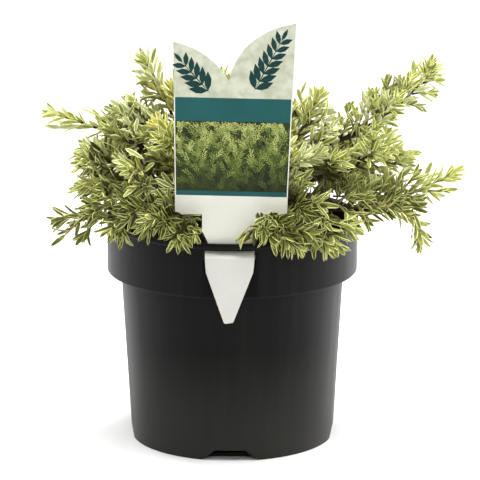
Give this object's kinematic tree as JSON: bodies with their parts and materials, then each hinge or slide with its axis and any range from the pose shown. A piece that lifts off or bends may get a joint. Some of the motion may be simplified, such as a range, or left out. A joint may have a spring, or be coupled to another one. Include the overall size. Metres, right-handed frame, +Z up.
{
  "type": "potted westringia",
  "caption": "Low spreading shrub with narrow cream-edged leaves, grown in a round black nursery pot with a plain label pushed through a slot in its collar.",
  "frame": {"origin": "middle of the pot's flat underside", "axes": "+Z up along the pot's axis, -Y out through the side that carries the label, +X to the right seen from there"},
  "size_m": [0.2342, 0.1874, 0.2414],
  "materials": {
    "pot_plastic": "matte moulded black",
    "label_plastic": "printed satin sheet",
    "potting_mix": "loose damp bark and fibre",
    "bark": "rough brown bark",
    "foliage": "matte grey-green with cream edges"
  },
  "bodies": {
    "root": {"pot": "pot_plastic", "potting_mix": "potting_mix", "label": "label_plastic", "main_stem": "bark", "bough_right_high": "bark", "bough_back_right": "bark", "bough_back": "bark", "bough_back_left": "bark", "bough_left_high": "bark", "bough_left_mid": "bark", "bough_left_low": "bark", "bough_front_left": "bark", "bough_front": "bark", "bough_front_right": "bark", "bough_right_low": "bark", "bough_right_mid": "bark", "foliage_right_hanging": "foliage", "foliage_front_centre": "foliage", "foliage_left_far": "foliage", "foliage_left_upper": "foliage", "foliage_left_crest": "foliage", "foliage_left_behind": "foliage", "foliage_left_side_high": "foliage", "foliage_left_side": "foliage", "foliage_left_face": "foliage", "foliage_left_low": "foliage", "foliage_left_rim": "foliage", "foliage_left_shoulder": "foliage", "foliage_left_tall": "foliage", "foliage_left_tall_inner": "foliage", "foliage_back_left": "foliage", "foliage_back_left_low": "foliage", "foliage_top_centre": "foliage", "foliage_back_high": "foliage", "foliage_back_low": "foliage", "foliage_back_right": "foliage", "foliage_back_right_low": "foliage", "foliage_back_right_far": "foliage", "foliage_right_behind": "foliage", "foliage_right_crest": "foliage", "foliage_right_crest_low": "foliage", "foliage_right_arch": "foliage", "foliage_right_far_high": "foliage", "foliage_right_mid": "foliage", "foliage_right_outer": "foliage", "foliage_right_heart": "foliage", "foliage_right_far": "foliage", "foliage_right_low": "foliage", "foliage_right_rim": "foliage", "foliage_right_face": "foliage", "foliage_right_inner": "foliage", "foliage_front_right": "foliage", "foliage_front_right_near": "foliage", "foliage_front": "foliage", "foliage_front_left": "foliage", "foliage_front_left_low": "foliage", "foliage_front_left_high": "foliage", "foliage_centre_front": "foliage", "foliage_centre_back": "foliage", "foliage_left_inner": "foliage"}
  },
  "joints": []
}
